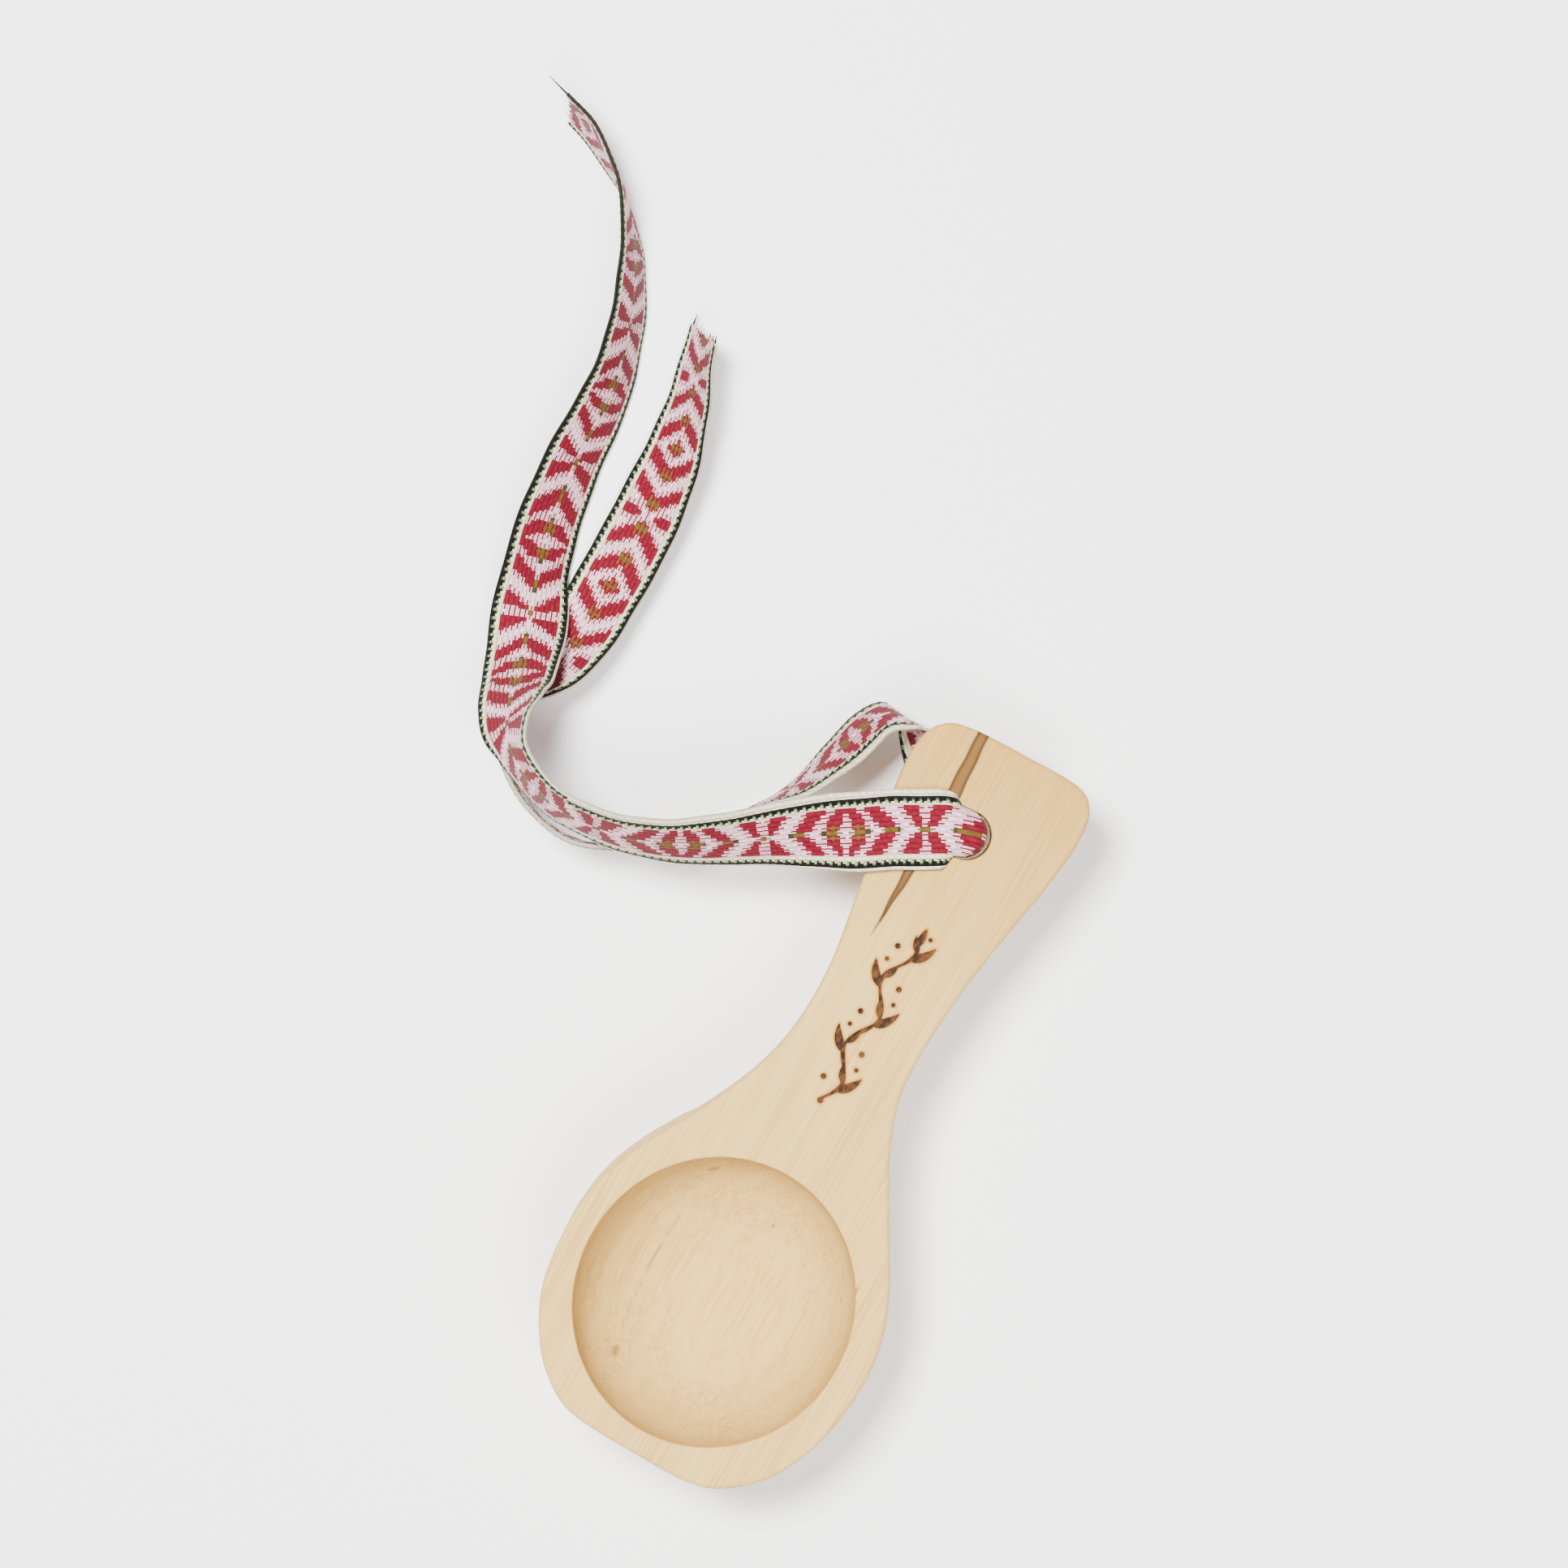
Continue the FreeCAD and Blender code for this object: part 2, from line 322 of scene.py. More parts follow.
def node(tree, kind, settings=None, links=None):
    """One shader node, with its settings and the sockets or values that feed it."""
    made = tree.nodes.new(kind)
    for key, value in (settings or {}).items():
        setattr(made, key, value)
    for key, value in (links or {}).items():
        if isinstance(value, bpy.types.NodeSocket):
            tree.links.new(value, made.inputs[key])
        else:
            made.inputs[key].default_value = value
    return made


def cut_ends(grid, s, v):
    """The grid with both ends cut aslant and a little ragged, drawn back over the last 15 mm."""
    ragged = np.repeat(np.random.default_rng(5).normal(0, 0.22, (2, 16)), 3, 1)[:, : len(v)]
    first = 1.0 + 2.0 * (v + 0.5) + ragged[0]
    last = 0.6 + 3.3 * (v + 0.5) + ragged[1]
    pull = first * np.clip(1 - (s - s[0])[:, None] / 15, 0, 1)
    pull -= last * np.clip(1 - (s[-1] - s)[:, None] / 15, 0, 1)
    place = np.arange(len(s))[:, None] + pull / (s[1] - s[0])
    low = np.clip(place.astype(int), 0, len(s) - 2)
    part = (place - low)[..., None]
    column = np.arange(len(v))[None, :]
    return grid[low, column] * (1 - part) + grid[low + 1, column] * part


def loose_threads(grid):
    """Thin tapering threads that stand out of the cut ends: points, quads and yarns."""
    chance = np.random.default_rng(3)
    points, quads, yarns, first = [], [], [], 0
    # Which end, which cell across, how far the thread stands out, and its yarn.
    picks = [(0, 3, 4.6, GREEN), (-1, 3, 1.7, GREEN), (-1, 42, 1.2, GREEN)]
    for end in (0, -1):
        for column in (8, 14, 19, 25, 31, 37):
            yarn = (WHITE, CREAM, RED, GOLD)[chance.integers(4)]
            picks.append((end, column, chance.uniform(0.5, 1.2), yarn))
    for end, column, reach, yarn in picks:
        root = grid[end, column]
        ahead = unit(root - grid[6 if end == 0 else -7, column])
        bend = chance.normal(0, 0.10, 3) * np.array([1, 1, 0.4])
        t = np.linspace(-0.15, 1, 8)[:, None]
        line = root + ahead * reach * t + bend * reach * t**2
        across = unit(np.cross(ahead, [0, 0, 1.0]))
        up = np.cross(across, ahead)
        turn = np.linspace(0, 2 * np.pi, 7)
        size = 0.17 * (1 - 0.6 * np.clip(t, 0, 1))
        ring = np.cos(turn)[None, :, None] * across + np.sin(turn)[None, :, None] * up
        tube = line[:, None] + ring * size[..., None]
        points.append(tube.reshape(-1, 3))
        quads.append(grid_faces(8, 7, first, True))
        yarns.append(np.full(len(quads[-1]), yarn))
        first += len(points[-1])
    return np.vstack(points), np.vstack(quads), np.concatenate(yarns)


def ribbon_piece():
    """Front and reverse sheets of the band, joined round their edges."""
    grid, s, v = band_surface()
    grid = cut_ends(grid, s, v)
    ahead = unit(np.gradient(grid, axis=0))
    across = unit(np.gradient(grid, axis=1))
    normal = unit(np.cross(ahead, across))
    i = np.arange(len(s))[:, None]
    j = np.arange(ROWS + 1)[None, :]
    # Yarns stand up between their grooves and rise and sink every three picks, in turn; the same
    # heights also set the painted shade in the grooves.
    rise = 0.72 + 0.28 * np.cos(2 * np.pi * (i / 3 + j // 3 / 2))
    ridge = np.where(j % 3 == 0, 0.0, 1.0) * rise
    lift = BAND_THICKNESS / 2 + 0.13 * (ridge - 0.5)
    lift = lift * np.where((j == 0) | (j == ROWS), 0.75, 1.0)
    front = grid + normal * lift[..., None]
    back = grid - normal * lift[..., None]
    rows, columns = len(s), ROWS + 1
    total = rows * columns
    quads = [grid_faces(rows, columns, 0, False), grid_faces(rows, columns, total, True)]
    for edge, flipped in ((0, False), (columns - 1, True)):
        a = np.arange(rows - 1) * columns + edge
        strip = np.stack([a, a + columns, a + columns + total, a + total], -1)
        quads.append(strip[:, ::-1] if flipped else strip)
    for end, flipped in ((0, True), ((rows - 1) * columns, False)):
        a = end + np.arange(columns - 1)
        strip = np.stack([a, a + 1, a + 1 + total, a + total], -1)
        quads.append(strip[:, ::-1] if flipped else strip)
    quads = np.vstack(quads)[:, ::-1]
    points = np.vstack([front.reshape(-1, 3), back.reshape(-1, 3)])
    thread_points, thread_quads, thread_yarns = loose_threads(grid)
    woven = len(quads)
    quads = np.vstack([quads, thread_quads + len(points)])
    points = np.vstack([points, thread_points])
    piece = build_mesh("woven_ribbon", points, quads)

    # This attribute holds each yarn's height, 1 on its crest and 0 in the grooves; the band's
    # material darkens the low parts with it as painted shade.
    yarn_crest = piece.data.attributes.new("yarn_crest", "FLOAT", "POINT")
    high = np.concatenate([np.tile(ridge.ravel(), 2), np.ones(len(thread_points))])
    yarn_crest.data.foreach_set("value", high.astype(np.float32))
    yarn_front, yarn_back = band_yarns(s)
    rims = np.full(woven - 2 * yarn_front.size, CREAM)
    rims[: rows - 1] = OLIVE
    yarn = np.concatenate([yarn_front.ravel(), yarn_back.ravel(), rims, thread_yarns])
    palette = np.array([hexed(code)[:3] for code in YARN_CODES])
    dye = np.random.default_rng(11).normal(1.0, 0.07, len(yarn))
    shown = np.clip(palette[yarn] * dye[:, None], 0, 1)
    colour = piece.data.attributes.new("yarn_colour", "FLOAT_COLOR", "FACE")
    rgba = np.concatenate([shown, np.ones((len(shown), 1))], 1)
    colour.data.foreach_set("color", rgba.ravel().astype(np.float32))
    uv = piece.data.uv_layers.new(name="weave")
    side = np.concatenate([np.tile(v[None], (rows, 1)).ravel()] * 2) * BAND_WIDTH
    side = np.concatenate([side, thread_points[:, 0]])
    length = np.concatenate([np.tile(s[:, None], (1, columns)).ravel()] * 2)
    length = np.concatenate([length, thread_points[:, 1]])
    corner = np.empty(len(piece.data.loops), np.int32)
    piece.data.loops.foreach_get("vertex_index", corner)
    flat = np.stack([length[corner], side[corner]], 1)
    uv.data.foreach_set("uv", flat.ravel().astype(np.float32))
    return piece, s[-1] - s[0]


def woven_band_material():
    """Jacquard-woven cotton and polyester: matt yarns with a soft edge sheen, finely ribbed."""
    material = bpy.data.materials.new("jacquard woven band")
    material.use_nodes = True
    tree = material.node_tree
    shader = tree.nodes["Principled BSDF"]
    yarn = node(tree, "ShaderNodeAttribute", {"attribute_name": "yarn_colour"})
    place = node(tree, "ShaderNodeUVMap", {"uv_map": "weave"})
    # Loose fibres lighten and darken the yarns over about half a millimetre.
    spread = {"Vector": place.outputs[0], "Scale": 2.2, "Detail": 4.0}
    fuzz = node(tree, "ShaderNodeTexNoise", links=spread).outputs["Fac"]
    limits = {"From Min": 0.3, "From Max": 0.7, "To Min": 0.86, "To Max": 1.1}
    shade = node(tree, "ShaderNodeMapRange", links={"Value": fuzz, **limits})
    # Painted shade: yarns are darkened where they dip into the grooves between their neighbours,
    # standing in for the shade that falls there.
    yarn_crest = node(tree, "ShaderNodeAttribute", {"attribute_name": "yarn_crest"}).outputs["Fac"]
    limits = {"From Max": 0.8, "To Min": 0.5}
    painted_groove_shade = node(tree, "ShaderNodeMapRange", links={"Value": yarn_crest, **limits})
    factors = {0: shade.outputs[0], 1: painted_groove_shade.outputs[0]}
    both = node(tree, "ShaderNodeMath", {"operation": "MULTIPLY"}, factors)
    shaded = {0: yarn.outputs["Color"], "Scale": both.outputs[0]}
    mixed = node(tree, "ShaderNodeVectorMath", {"operation": "SCALE"}, shaded)
    tree.links.new(mixed.outputs[0], shader.inputs["Base Color"])
    # Plies of a yarn, 0.22 mm apart along it and leaning like a twist.
    plies = {"Vector": place.outputs[0], "Scale": 1.4, "Distortion": 1.2}
    twist = node(tree, "ShaderNodeTexWave", {"bands_direction": "DIAGONAL"}, plies)
    relief = {"Height": twist.outputs["Fac"], "Strength": 0.35, "Distance": 0.00006}
    bump = node(tree, "ShaderNodeBump", links=relief)
    tree.links.new(bump.outputs[0], shader.inputs["Normal"])
    shader.inputs["Roughness"].default_value = 0.82
    shader.inputs["Sheen Weight"].default_value = 0.08
    shader.inputs["Specular IOR Level"].default_value = 0.12
    shader.inputs["Sheen Roughness"].default_value = 0.45
    return material


ribbon, ribbon_length = ribbon_piece()
ribbon.data.materials.append(woven_band_material())
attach(ribbon, "ribbon_body")
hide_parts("ribbon")


# ---------------------------------------------------------------- scoop
# Bowl and handle cut from one piece of birch and sanded smooth: a flat top, a hollow turned
# with a round cutter, edges broken by hand, an ornament burnt in with a hot point and a
# brown streak of core wood running down from the handle's end.
# Heights of the top face and of the handle's underside.
TOP, UNDER = 24.0, 16.5
# The hollow's half widths across and along, and its depth.
HOLLOW = (22.4, 23.5, 18.5)
# Radius of the flat foot, and of the arcs that turn up from it and into the handle.
FOOT, HEEL, THROAT = 22.5, 7.5, 9.0
# Middle and radius of the hanging hole.
HOLE = (-1.9, 85.1, 4.0)
# How far the outer edge is rounded, and the rims of the hollow and the hole.
BROKEN_EDGE, RIM_EDGE = 0.7, 0.35
BURN_DEPTH = 0.14
# The edge seen from above, anticlockwise from the bowl's tip.
OUTLINE = [
    (0.0, -27.4),
    (10.5, -27.2),
    (16.0, -25.3),
    (21.8, -20.0),
    (25.8, -11.5),
    (27.4, -1.0),
    (26.5, 8.0),
    (23.3, 16.0),
    (18.0, 25.0),
    (12.1, 36.0),
    (9.5, 45.0),
    (9.5, 57.0),
    (11.0, 70.0),
    (13.4, 84.0),
    (14.3, 93.0),
    (13.3, 98.2),
    (9.8, 100.7),
    (0.0, 100.8),
    (-9.5, 100.4),
    (-14.0, 98.8),
    (-16.1, 94.5),
    (-15.7, 86.0),
    (-13.9, 76.5),
    (-11.9, 65.0),
    (-10.5, 55.0),
    (-10.7, 45.0),
    (-12.8, 36.0),
    (-17.2, 26.0),
    (-22.7, 16.0),
    (-25.7, 8.0),
    (-26.6, -1.0),
    (-25.2, -11.5),
    (-20.7, -20.0),
    (-15.3, -25.0),
    (-10.0, -27.0),
]


def edge_line():
    """The scoop's edge from above as a fine closed Catmull-Rom curve."""
    marks = np.array(OUTLINE)
    looped = np.vstack([marks[-2:], marks, marks[:3]])
    return smoothed(looped, np.linspace(2, 2 + len(marks), 6000))


def edge_stretch(line, start, stop, count):
    """Evenly spaced points of the closed line from index start round to stop."""
    stop = stop if stop > start else stop + len(line)
    taken = line[np.arange(start, stop + 1) % len(line)]
    run = np.concatenate([[0], np.cumsum(np.linalg.norm(np.diff(taken, axis=0), axis=1))])
    marks = np.linspace(0, run[-1], count)
    return np.stack([np.interp(marks, run, taken[:, k]) for k in (0, 1)], 1)


def nearest(line, x, y):
    """Index of the line's point closest to (x, y)."""
    return int(np.argmin(np.hypot(line[:, 0] - x, line[:, 1] - y)))


# Mesh steps round the bowl, up each side of the handle and round its end.
BOWL_STEPS, SIDE_STEPS, END_STEPS = 200, 260, 150


def edge_loops():
    """Matched closed loops: the outer edge, and the lines that the top and underside grow from.

    Round the bowl the inner line is the hollow's rim, up each side of the handle it is one
    seam line, and round the handle's end it is the hanging hole."""
    line = edge_line()[:-1]
    right_low, left_low = nearest(line, 17.6, 25.6), nearest(line, -17.0, 26.2)
    right_high, left_high = nearest(line, 12.9, 81.0), nearest(line, -14.8, 81.0)
    right = edge_stretch(line, right_low, right_high, SIDE_STEPS)
    end = edge_stretch(line, right_high, left_high, END_STEPS)
    left = edge_stretch(line, left_high, left_low, SIDE_STEPS)
    bowl = edge_stretch(line, left_low, right_low, BOWL_STEPS)
    outer = np.vstack([right[:-1], end[:-1], left[:-1], bowl[:-1]])
    up = np.linspace(0, 1, SIDE_STEPS)[:, None]
    hole_foot = np.array([HOLE[0], HOLE[1] - HOLE[2] - RIM_EDGE])
    turn = np.linspace(-0.5 * np.pi, 1.5 * np.pi, END_STEPS)
    hole = np.stack([np.cos(turn), np.sin(turn)], 1)
    round_bowl = np.linspace(0.5 * np.pi, 2.5 * np.pi, BOWL_STEPS)
    rim = np.stack([np.cos(round_bowl), np.sin(round_bowl)], 1)
    return outer, up, hole_foot, hole, rim


def profile_height(x, y):
    """Height of the underside, turned about the bowl's axis: foot, heel arc, throat arc, handle."""
    r = np.hypot(x, y)
    heel = HEEL - np.sqrt(np.clip(HEEL**2 - (r - FOOT) ** 2, 0, None))
    flare = FOOT + HEEL + THROAT
    throat = HEEL + np.sqrt(np.clip(THROAT**2 - (flare - r) ** 2, 0, None))
    z = np.where(r < FOOT, 0.0, np.where(r < FOOT + HEEL, heel, throat))
    return np.where(r > flare, UNDER, z)


def scoop_piece():
    """Top, broken edge, side, underside, hollow and hole as grids round one shared loop."""
    outer, up, hole_foot, hole, rim = edge_loops()
    count = len(outer)
    loop = np.vstack([outer[-1:], outer, outer[:1]])
    tangent = unit(loop[2:] - loop[:-2])
    inward = np.stack([-tangent[:, 1], tangent[:, 0]], 1)
    rim_top = rim * (np.array(HOLLOW[:2]) + RIM_EDGE)
    seam = rim_top[0] * (1 - up) + hole_foot * up
    hole_top = np.array(HOLE[:2]) + hole * (HOLE[2] + RIM_EDGE)
    inner = np.vstack([seam[:-1], hole_top[:-1], seam[::-1][:-1], rim_top[:-1]])
    low_seam = hole_foot * up
    centre = np.zeros((BOWL_STEPS, 2))
    inner_low = np.vstack([low_seam[:-1], hole_top[:-1], low_seam[::-1][:-1], centre[:-1]])

    layers = []
    crest = outer + inward * BROKEN_EDGE
    for t in np.linspace(0, 1, 41):
        flat = inner * (1 - t) + crest * t
        layers.append(np.column_stack([flat, np.full(count, TOP)]))
    for a in np.linspace(0, 0.5 * np.pi, 6)[1:]:
        place = outer + inward * BROKEN_EDGE * (1 - np.sin(a))
        z = np.full(count, TOP - BROKEN_EDGE * (1 - np.cos(a)))
        layers.append(np.column_stack([place, z]))
    reach = np.hypot(outer[:, 0], outer[:, 1])
    soft = 1.5 + 1.2 * np.clip((32 - reach) / 6, 0, 1)
    lowest = profile_height(*outer.T) + soft
    for t in np.linspace(0, 1, 9)[1:]:
        z = (TOP - BROKEN_EDGE) * (1 - t) + lowest * t
        layers.append(np.column_stack([outer, z]))
    for a in np.linspace(0, 0.5 * np.pi, 7)[1:]:
        place = outer + inward * (soft * (1 - np.cos(a)))[:, None]
        z = profile_height(*place.T) + soft * (1 - np.sin(a))
        layers.append(np.column_stack([place, z]))
    foot_edge = outer + inward * soft[:, None]
    for t in np.linspace(0, 1, 15)[1:]:
        place = foot_edge * (1 - t) + inner_low * t
        layers.append(np.column_stack([place, profile_height(*place.T)]))
    body = np.stack(layers, 0)
    closed = np.concatenate([body, body[:, :1]], 1)
    grids = [(closed, True)]

    a, b, depth = HOLLOW
    cup = []
    for t in np.linspace(0, 0.5 * np.pi, 5):
        size = np.array([a, b]) + RIM_EDGE * (1 - np.sin(t))
        z = np.full(BOWL_STEPS, TOP - RIM_EDGE * (1 - np.cos(t)))
        cup.append(np.column_stack([rim * size, z]))
    start = np.arcsin(RIM_EDGE / depth)
    for t in np.linspace(start, 0.5 * np.pi, 44)[1:]:
        z = np.full(BOWL_STEPS, TOP - depth * np.sin(t))
        cup.append(np.column_stack([rim * np.array([a, b]) * np.cos(t), z]))
    grids.append((np.stack(cup, 0), False))

    wall = []
    for t in np.linspace(0, 0.5 * np.pi, 5):
        size = HOLE[2] + RIM_EDGE * (1 - np.sin(t))
        wall.append((size, TOP - RIM_EDGE * (1 - np.cos(t))))
    wall += [(HOLE[2], z) for z in np.linspace(TOP - RIM_EDGE, UNDER + RIM_EDGE, 10)[1:-1]]
    for t in np.linspace(0.5 * np.pi, 0, 5):
        size = HOLE[2] + RIM_EDGE * (1 - np.sin(t))
        wall.append((size, UNDER + RIM_EDGE * (1 - np.cos(t))))
    middle = np.array(HOLE[:2])
    tube = [np.column_stack([middle + hole * r, np.full(END_STEPS, z)]) for r, z in wall]
    grids.append((np.stack(tube, 0), False))

    points, quads, first = [], [], 0
    for grid, flipped in grids:
        points.append(grid.reshape(-1, 3))
        quads.append(grid_faces(grid.shape[0], grid.shape[1], first, flipped))
        first += grid.shape[0] * grid.shape[1]
    return np.vstack(points), np.vstack(quads)


def merged(points, quads):
    """The mesh with coincident points joined and collapsed faces dropped."""
    keys = np.round(points, 3)
    kept, index = np.unique(keys, axis=0, return_inverse=True)
    faces = []
    for quad in index.reshape(-1)[quads]:
        ring = [p for k, p in enumerate(quad.tolist()) if p != quad[k - 1]]
        if len(set(ring)) == len(ring) >= 3:
            faces.append(ring)
    return kept, faces


def stroke_gap(points, path, widths):
    """Distance in mm from each point to a drawn line, less half the line's width there."""
    path = np.array(path, float)
    widths = np.broadcast_to(widths, len(path))
    gap = np.full(len(points), 99.0)
    for a, b, wide, next_wide in zip(path[:-1], path[1:], widths[:-1], widths[1:]):
        step = b - a
        t = np.clip((points - a) @ step / (step @ step + 1e-9), 0, 1)
        distance = np.linalg.norm(points - (a + t[:, None] * step), axis=1)
        gap = np.minimum(gap, distance - (wide * (1 - t) + next_wide * t) / 2)
    return gap


def sprig_strokes():
    """The burnt ornament: a waving stem with drop-shaped leaves in uneven pairs, a dot beside
    each leaf and a bud at its tip. Every stroke swells and thins like a brush's."""

    def stem_x(y):
        return -0.9 + 1.4 * np.sin(2 * np.pi * (y - 37.5) / 12)

    def leaf(x, y, lean, long, wide):
        """A drop-shaped leaf from (x, y), lean radians from the handle's length."""
        t = np.linspace(0, 1, 18)
        turned = lean * (1 - 0.35 * t)
        path = np.stack([x + long * t * np.sin(turned), y + long * t * np.cos(turned)], 1)
        return path, 0.3 + (wide - 0.3) * np.sin(np.pi * t**0.75)

    y = np.linspace(37.0, 66.0, 110)
    strokes = [(np.stack([stem_x(y), y], 1), 0.66 + 0.16 * np.sin(y * 1.3))]
    for k in range(5):
        turn, y0 = (1 if k % 2 == 0 else -1), 39.2 + 6.0 * k
        strokes.append(leaf(stem_x(y0), y0, turn * 1.0, 4.4, 1.5))
        strokes.append(leaf(stem_x(y0 + 1.6), y0 + 1.6, -turn * 0.8, 2.6, 1.0))
        strokes.append((np.array([[stem_x(y0) - turn * 2.9, y0 + 1.0]] * 2), 1.0))
        strokes.append((np.array([[stem_x(y0) + turn * 1.2, y0 + 4.4]] * 2), 0.8))
    strokes.append(leaf(stem_x(66.0), 65.8, 0.0, 3.0, 1.3))
    strokes.append((np.array([[stem_x(37.0), 36.6]] * 2), 1.1))
    return strokes


def wood_marks(points):
    """Signed distances in mm, on top of the wood, to the burnt sprig, the streak and the flecks."""
    flat = points[:, :2]
    burn = np.full(len(flat), 99.0)
    for path, widths in sprig_strokes():
        burn = np.minimum(burn, stroke_gap(flat, path, widths))
    burn = np.where(points[:, 2] > TOP - 1.0, burn, 99.0)

    y = flat[:, 1]
    middle = np.interp(y, [62.0, 75.0, 90.0, 101.0], [-7.3, -7.1, -7.0, -7.6])
    half = np.interp(y, [62.0, 63.5, 75.0, 90.0, 101.0], [-0.6, 0.05, 0.8, 1.2, 0.95])
    streak = np.abs(flat[:, 0] - middle + 0.05 * np.sin(y * 1.1)) - half
    streak = np.where(points[:, 2] > 17.2, streak, 99.0)

    fleck = stroke_gap(flat, [(-11.3, 8), (-11.5, 0), (-11.2, -8), (-10.5, -12.5)], 0.2)
    fleck = np.minimum(fleck, stroke_gap(flat, [(-10.9, 17.6), (-9.9, 18.4)], 0.6))
    fleck = np.minimum(fleck, stroke_gap(flat, [(-9.7, -15.4), (-9.5, -16.2)], 1.0))
    return burn, streak, fleck


def birch_material():
    """Sanded birch without varnish: pale cream, nearly matt, with lengthwise grain and pores."""
    material = bpy.data.materials.new("sanded birch")
    material.use_nodes = True
    tree = material.node_tree
    shader = tree.nodes["Principled BSDF"]
    place = node(tree, "ShaderNodeTexCoord").outputs["Object"]

    def grain(across, along, scale, detail, low, high):
        """Noise drawn out along the handle, as 0 to 1."""
        pulled = node(
            tree, "ShaderNodeMapping", links={"Vector": place, "Scale": (across, along, across)}
        )
        noise = node(
            tree,
            "ShaderNodeTexNoise",
            links={"Vector": pulled.outputs[0], "Scale": scale, "Detail": detail},
        )
        spread = {"Value": noise.outputs["Fac"], "From Min": low, "From Max": high}
        return node(tree, "ShaderNodeMapRange", links=spread).outputs[0]

    def mix(factor, a, b, kind="MIX"):
        """Two colours mixed by a factor; a or b is a socket or a colour."""
        made = node(tree, "ShaderNodeMix", {"data_type": "RGBA", "blend_type": kind})
        for socket, value in ((0, factor), (6, a), (7, b)):
            if isinstance(value, bpy.types.NodeSocket):
                tree.links.new(value, made.inputs[socket])
            else:
                made.inputs[socket].default_value = value
        return made.outputs[2]

    def below(name, edge, soft):
        """1 inside a mark and 0 outside, from its distance attribute, over soft mm."""
        gap = node(tree, "ShaderNodeAttribute", {"attribute_name": name}).outputs["Fac"]
        spread = {"Value": gap, "From Min": edge + soft, "From Max": edge - soft}
        return node(tree, "ShaderNodeMapRange", links=spread).outputs[0]

    # Growth rings cut lengthwise, 2 to 5 mm apart, and the finer fibres between them.
    rings = grain(1.0, 0.04, 300.0, 2.0, 0.35, 0.65)
    fibres = grain(1.0, 0.02, 2200.0, 3.0, 0.35, 0.68)
    colour = mix(rings, hexed("B8904A"), hexed("C6A35D"))
    colour = mix(fibres, colour, hexed("CCAB66"))
    # Warmer, more golden wood towards the handle's end.
    distance = node(tree, "ShaderNodeSeparateXYZ", links={0: place}).outputs["Y"]
    golden = node(
        tree,
        "ShaderNodeMapRange",
        links={"Value": distance, "From Min": 0.055, "From Max": 0.1, "To Max": 0.55},
    ).outputs[0]
    colour = mix(golden, colour, hexed("A87A2E"))
    # Pores: short dark dashes along the grain.
    pores = grain(1.0, 0.06, 900.0, 0.0, 0.83, 0.9)
    colour = mix(pores, colour, hexed("A67C40"))
    # The streak of core wood, dark at its borders.
    colour = mix(below("streak", 0.0, 0.16), colour, hexed("3A250C"))
    colour = mix(below("streak", -0.42, 0.3), colour, hexed("6B4A1E"))
    # Scorched halo, then the charred stroke itself.
    colour = mix(below("burn", 0.25, 0.3), colour, hexed("AF7C36"))
    charred = mix(grain(1.0, 0.5, 1400.0, 2.0, 0.4, 0.62), hexed("241002"), hexed("55300C"))
    colour = mix(below("burn", 0.0, 0.1), colour, charred)
    colour = mix(below("fleck", 0.0, 0.3), colour, hexed("94713C"))
    tree.links.new(colour, shader.inputs["Base Color"])
    bump = node(
        tree, "ShaderNodeBump", links={"Height": fibres, "Strength": 0.12, "Distance": 0.00005}
    )
    tree.links.new(bump.outputs[0], shader.inputs["Normal"])
    shader.inputs["Roughness"].default_value = 0.58
    shader.inputs["Specular IOR Level"].default_value = 0.1
    return material


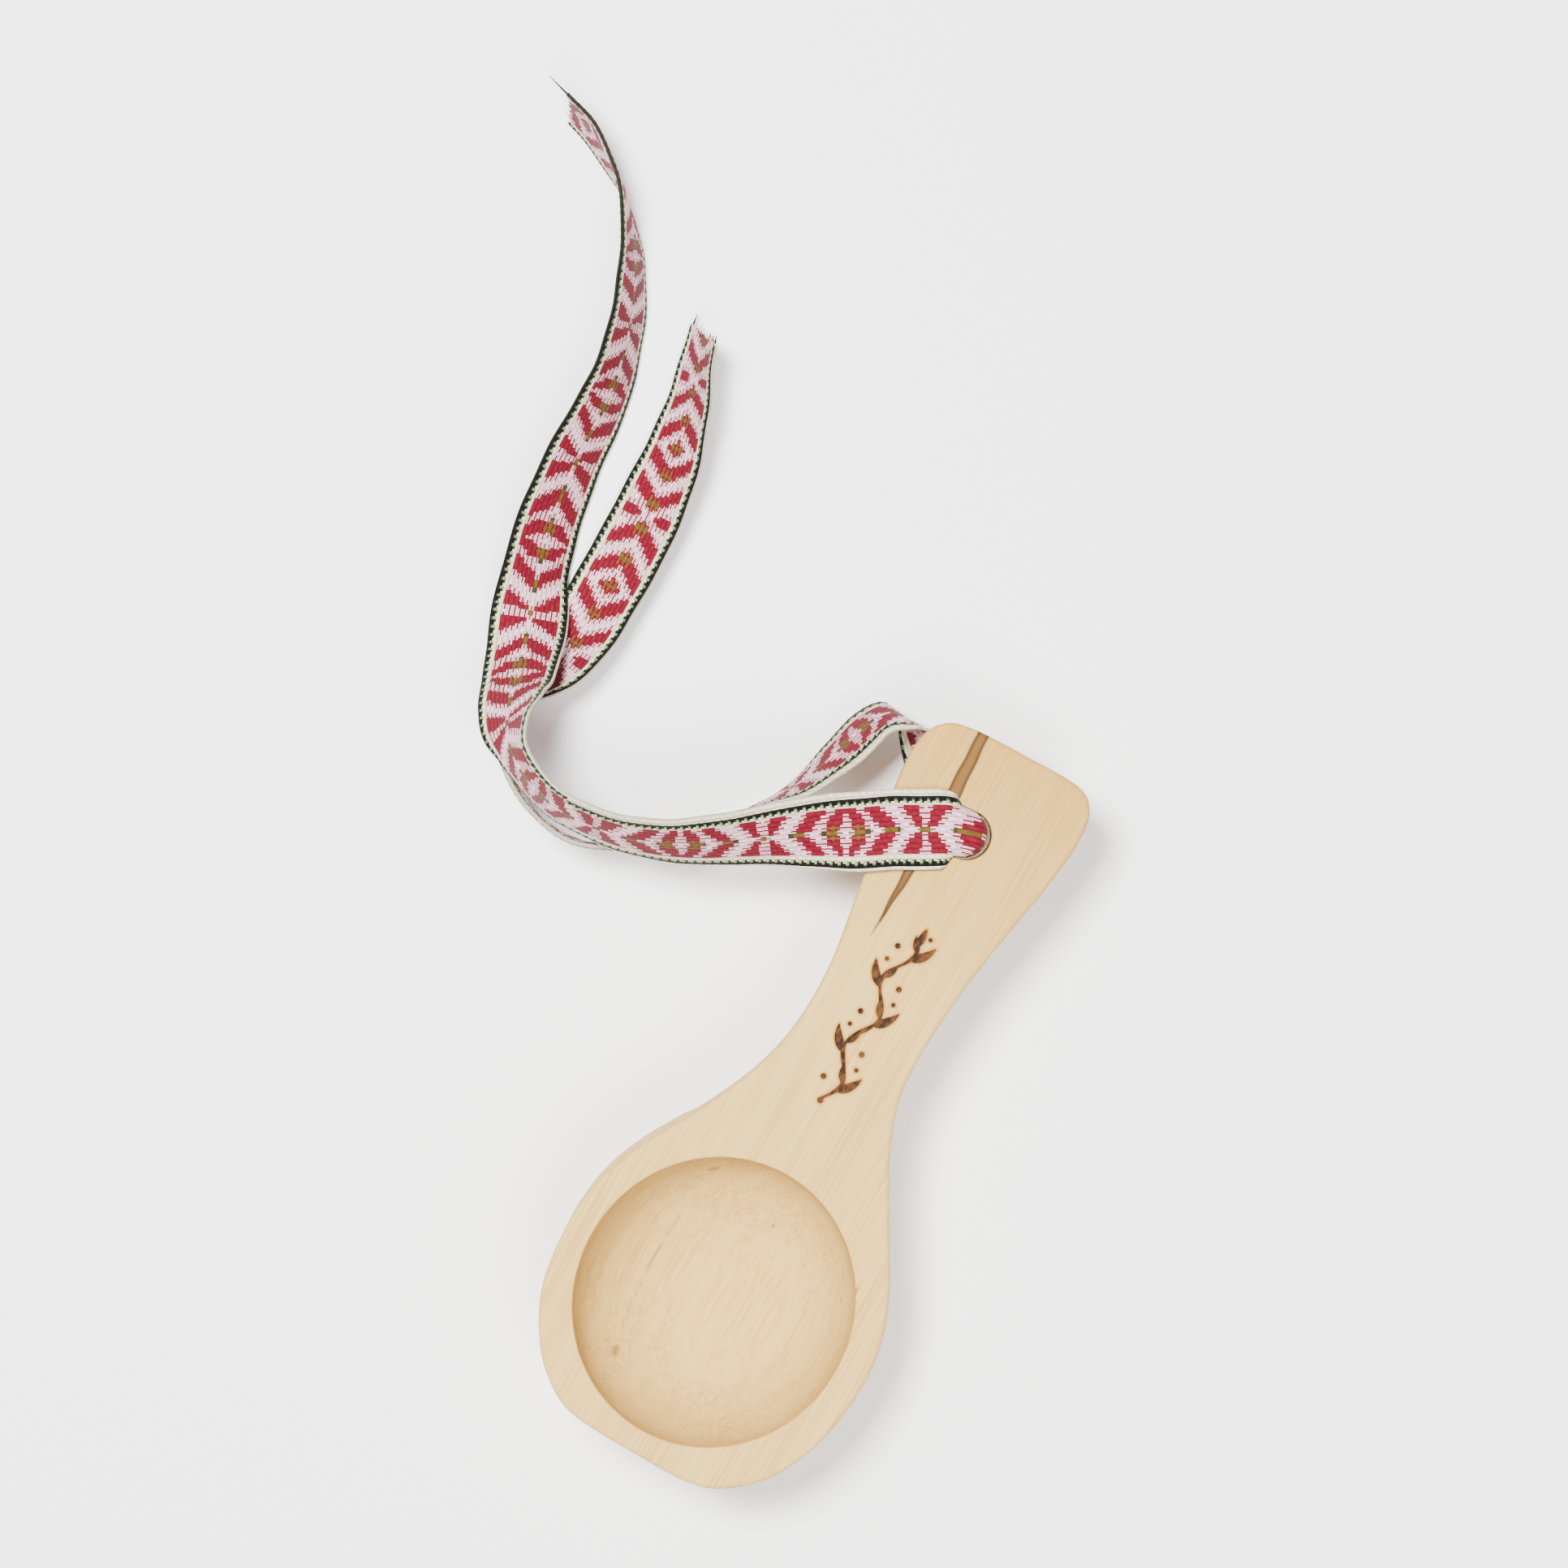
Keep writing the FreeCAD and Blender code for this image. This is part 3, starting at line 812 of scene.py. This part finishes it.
scoop_points, scoop_faces = merged(*scoop_piece())
burn, streak, fleck = wood_marks(scoop_points)
on_top = (burn < 0.3) & (scoop_points[:, 2] > TOP - 0.05)
scoop_points[on_top, 2] -= BURN_DEPTH * np.clip((0.1 - burn[on_top]) / 0.3, 0, 1)
scoop_mesh = bpy.data.meshes.new("birch_scoop")
scoop_mesh.from_pydata((scoop_points * MM).tolist(), [], scoop_faces)
scoop_mesh.shade_smooth()
for name, values in (("burn", burn), ("streak", streak), ("fleck", fleck)):
    layer = scoop_mesh.attributes.new(name, "FLOAT", "POINT")
    layer.data.foreach_set("value", values.astype(np.float32))
scoop = bpy.data.objects.new("birch_scoop", scoop_mesh)
bpy.context.collection.objects.link(scoop)
scoop.data.materials.append(birch_material())
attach(scoop, "scoop_body")
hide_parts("scoop")


# ---------------------------------------------------------------- floor and light
# A sheet of matt pale card, with a soft lamp high on the left and a weaker one opposite.
card = bpy.data.materials.new("matt pale card")
card.use_nodes = True
card.node_tree.nodes["Principled BSDF"].inputs["Base Color"].default_value = hexed("FCFBFB")
card.node_tree.nodes["Principled BSDF"].inputs["Roughness"].default_value = 0.95
floor_mesh = bpy.data.meshes.new("floor")
floor_mesh.from_pydata(
    [(-3, -3, 0), (3, -3, 0), (3, 3, 0), (-3, 3, 0)], [], [(0, 1, 2, 3)]
)
floor = bpy.data.objects.new("floor", floor_mesh)
floor.location.z = -0.0002
floor.data.materials.append(card)
bpy.context.collection.objects.link(floor)

world = bpy.data.worlds.new("studio")
world.use_nodes = True
world.node_tree.nodes["Background"].inputs["Color"].default_value = (1, 1, 1, 1)
world.node_tree.nodes["Background"].inputs["Strength"].default_value = 0.38
bpy.context.scene.world = world


def soft_lamp(name, place, size, power):
    """A square area lamp aimed at the middle of the object."""
    lamp = bpy.data.lights.new(name, "AREA")
    lamp.size, lamp.energy = size, power
    holder = bpy.data.objects.new(name, lamp)
    holder.location = place
    aim = np.array([-0.03, 0.07, 0.01]) - np.array(place)
    holder.rotation_euler = Vector(aim).to_track_quat("-Z", "Y").to_euler()
    bpy.context.collection.objects.link(holder)


soft_lamp("key", (-0.36, 0.15, 1.05), 0.30, 40.0)
soft_lamp("fill", (0.32, -0.24, 1.00), 0.45, 15.0)
